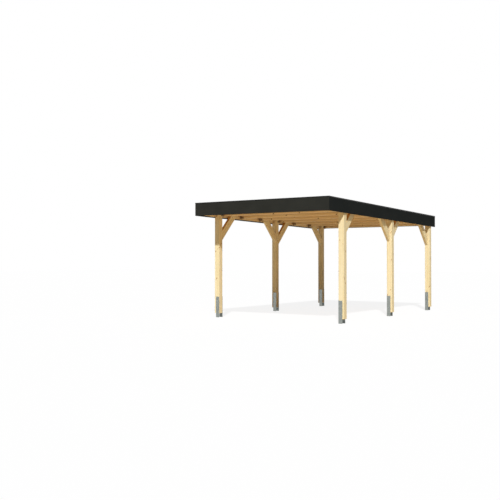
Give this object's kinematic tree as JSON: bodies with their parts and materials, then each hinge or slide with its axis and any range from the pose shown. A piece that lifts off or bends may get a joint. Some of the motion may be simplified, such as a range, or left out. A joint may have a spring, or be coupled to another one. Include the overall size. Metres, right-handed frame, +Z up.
{
  "type": "carport",
  "caption": "Free-standing timber carport: square posts in galvanised anchors, knee braces, and a flat raftered roof behind a deep dark fascia, open on all sides.",
  "frame": {"origin": "on the ground at the middle of the roof's plan", "axes": "+X to the right seen from the front, +Y along the length to the rear, +Z up; the front is at -Y"},
  "size_m": [3.064, 5.492, 2.363],
  "materials": {
    "post_timber": "planed spruce, untreated",
    "beam_timber": "planed spruce, untreated",
    "deck_boards": "planed tongue-and-groove boards",
    "fascia_coating": "board with an opaque matt anthracite coating",
    "cap_sheet": "folded sheet, anthracite powder coat",
    "roof_membrane": "matt black roofing membrane",
    "galvanised_steel": "hot-dip galvanised"
  },
  "bodies": {
    "root": {"post_front_left": "post_timber", "anchor_front_left": "galvanised_steel", "brace_front_left_rearward": "beam_timber", "post_middle_left": "post_timber", "anchor_middle_left": "galvanised_steel", "brace_middle_left_rearward": "beam_timber", "brace_middle_left_forward": "beam_timber", "post_rear_left": "post_timber", "anchor_rear_left": "galvanised_steel", "brace_rear_left_forward": "beam_timber", "purlin_left": "beam_timber", "rafter_hangers_left": "galvanised_steel", "fascia_left": "fascia_coating", "cap_left": "cap_sheet", "post_front_right": "post_timber", "anchor_front_right": "galvanised_steel", "brace_front_right_rearward": "beam_timber", "post_middle_right": "post_timber", "anchor_middle_right": "galvanised_steel", "brace_middle_right_rearward": "beam_timber", "brace_middle_right_forward": "beam_timber", "post_rear_right": "post_timber", "anchor_rear_right": "galvanised_steel", "brace_rear_right_forward": "beam_timber", "purlin_right": "beam_timber", "rafter_hangers_right": "galvanised_steel", "fascia_right": "fascia_coating", "cap_right": "cap_sheet", "rafter_1": "beam_timber", "rafter_2": "beam_timber", "rafter_3": "beam_timber", "rafter_4": "beam_timber", "rafter_5": "beam_timber", "rafter_6": "beam_timber", "rafter_7": "beam_timber", "rafter_8": "beam_timber", "rafter_9": "beam_timber", "roof_deck": "deck_boards", "roof_membrane": "roof_membrane", "fascia_front": "fascia_coating", "fascia_rear": "fascia_coating", "cap_front": "cap_sheet", "cap_rear": "cap_sheet"}
  },
  "joints": []
}
